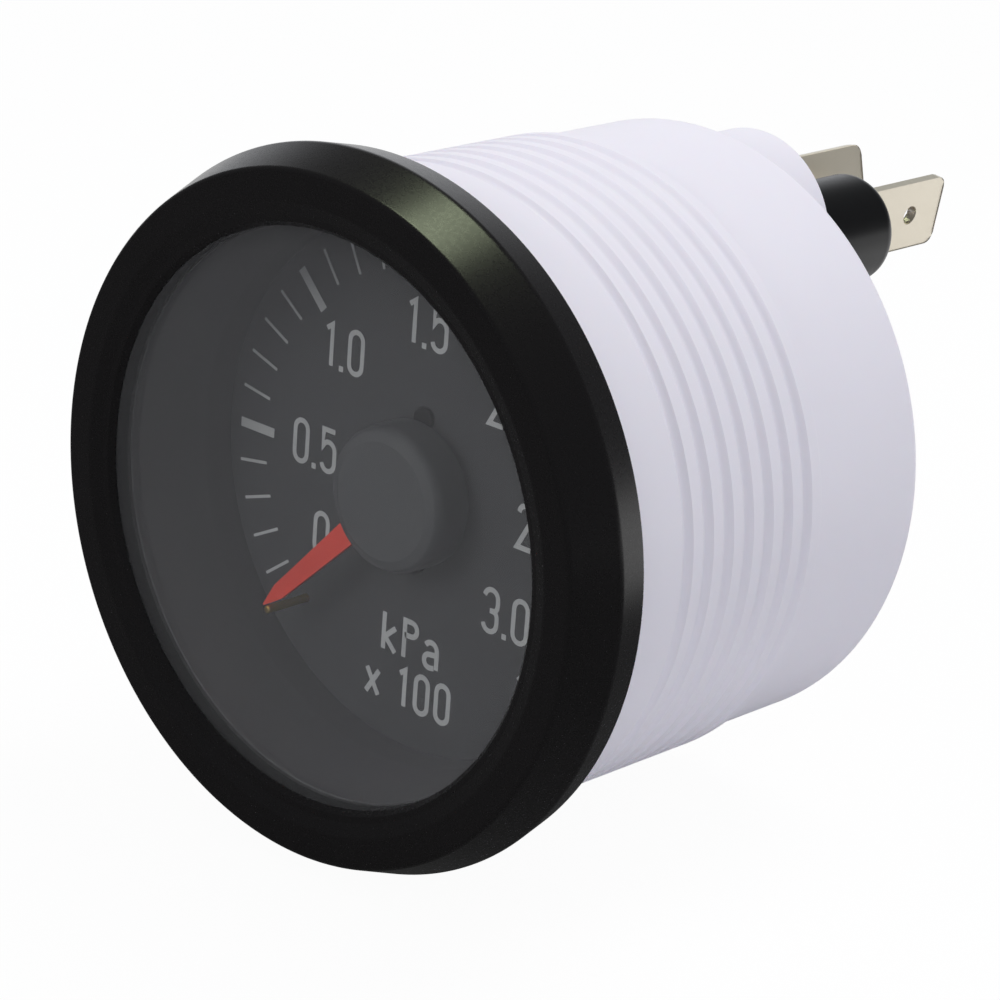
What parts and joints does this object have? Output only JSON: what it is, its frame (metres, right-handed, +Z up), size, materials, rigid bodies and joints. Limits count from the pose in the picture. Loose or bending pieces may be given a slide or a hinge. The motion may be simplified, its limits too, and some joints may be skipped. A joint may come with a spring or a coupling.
{
  "type": "boost gauge",
  "caption": "Round panel-mounted boost gauge with a Bourdon tube movement that turns a pointer over a dial, a lens, a rear pressure port, and a lamp holder with tab terminals.",
  "frame": {"origin": "on the gauge's axis, at the rear face of the bezel, which seats on the panel", "axes": "+Y back through the panel along the barrel, -Y out of the dial towards the viewer, +Z up, +X to the right as the dial is read"},
  "size_m": [0.0578, 0.0733, 0.0578],
  "materials": {
    "black_bezel": "satin black on spun aluminium",
    "lens_glass": "clear flat lens",
    "black_rubber": "matt",
    "dark_plastic": "matt moulded",
    "dial_paint": "matt dark grey with a printed scale",
    "dark_steel": "blackened",
    "white_plastic": "white moulded, half gloss",
    "brass": "machined",
    "bronze": "drawn tube",
    "steel": "bright",
    "black_plastic": "moulded, half matt",
    "tinned_brass": "tinned",
    "bulb_glass": "clear",
    "red_paint": "red, half matt"
  },
  "bodies": {
    "case": {"bezel": "black_bezel", "lens": "lens_glass", "lens_gasket": "black_rubber", "spacer_ring": "dark_plastic", "dial": "dial_paint", "dial_screws": "dark_steel", "stop_pin": "dark_steel", "housing": "white_plastic", "front_plate": "brass", "back_plate": "brass", "plate_pillars": "brass", "plate_screws": "steel", "movement_screws": "steel", "pivot_bushes": "brass", "hairspring": "steel", "hairspring_stud": "brass", "bourdon_tube": "bronze", "pressure_socket": "brass", "socket_gasket": "black_rubber", "port_washer": "steel", "port_nut": "brass", "lamp_holder": "black_plastic", "lamp_contact": "tinned_brass", "lamp_bulb": "bulb_glass", "bulb_base": "tinned_brass", "lamp_blade": "tinned_brass", "ground_blade": "tinned_brass"},
    "pointer_set": {"pointer": "red_paint", "hub_cap": "dark_plastic", "pointer_boss": "brass", "pinion_arbor": "steel", "pinion": "brass", "hairspring_collet": "brass"},
    "sector_set": {"sector_gear": "brass", "sector_arbor": "steel", "link_pin": "steel"},
    "link_set": {"link": "brass"},
    "tip_set": {"tube_tip": "brass", "tip_pin": "steel"}
  },
  "joints": [
    {"name": "pointer_turn", "type": "hinge", "parent": "case", "child": "pointer_set", "pos_m": [0, 0, 0], "axis": [0, 1, 0], "range_deg": [0, 270], "stiffness_Nm_per_rad": 0.0005, "springref_deg": -8.59},
    {"name": "sector_swing", "type": "hinge", "parent": "case", "child": "sector_set", "pos_m": [0, 0.0138, -0.014], "axis": [0, 1, 0], "range_deg": [-30, 0]},
    {"name": "link_swing", "type": "hinge", "parent": "sector_set", "child": "link_set", "pos_m": [-0.0052, 0.01495, -0.012], "axis": [0, 1, 0], "range_deg": [0, 30]},
    {"name": "tip_swing", "type": "hinge", "parent": "link_set", "child": "tip_set", "pos_m": [-0.00808, 0.0138, -0.01786], "axis": [0, 1, 0], "range_deg": [0, 4.5]}
  ],
  "couplings": [
    {"joint": "sector_swing", "follows": "pointer_turn", "ratio": -0.11111},
    {"joint": "link_swing", "follows": "pointer_turn", "ratio": 0.11111},
    {"joint": "tip_swing", "follows": "pointer_turn", "ratio": 0.016667}
  ]
}
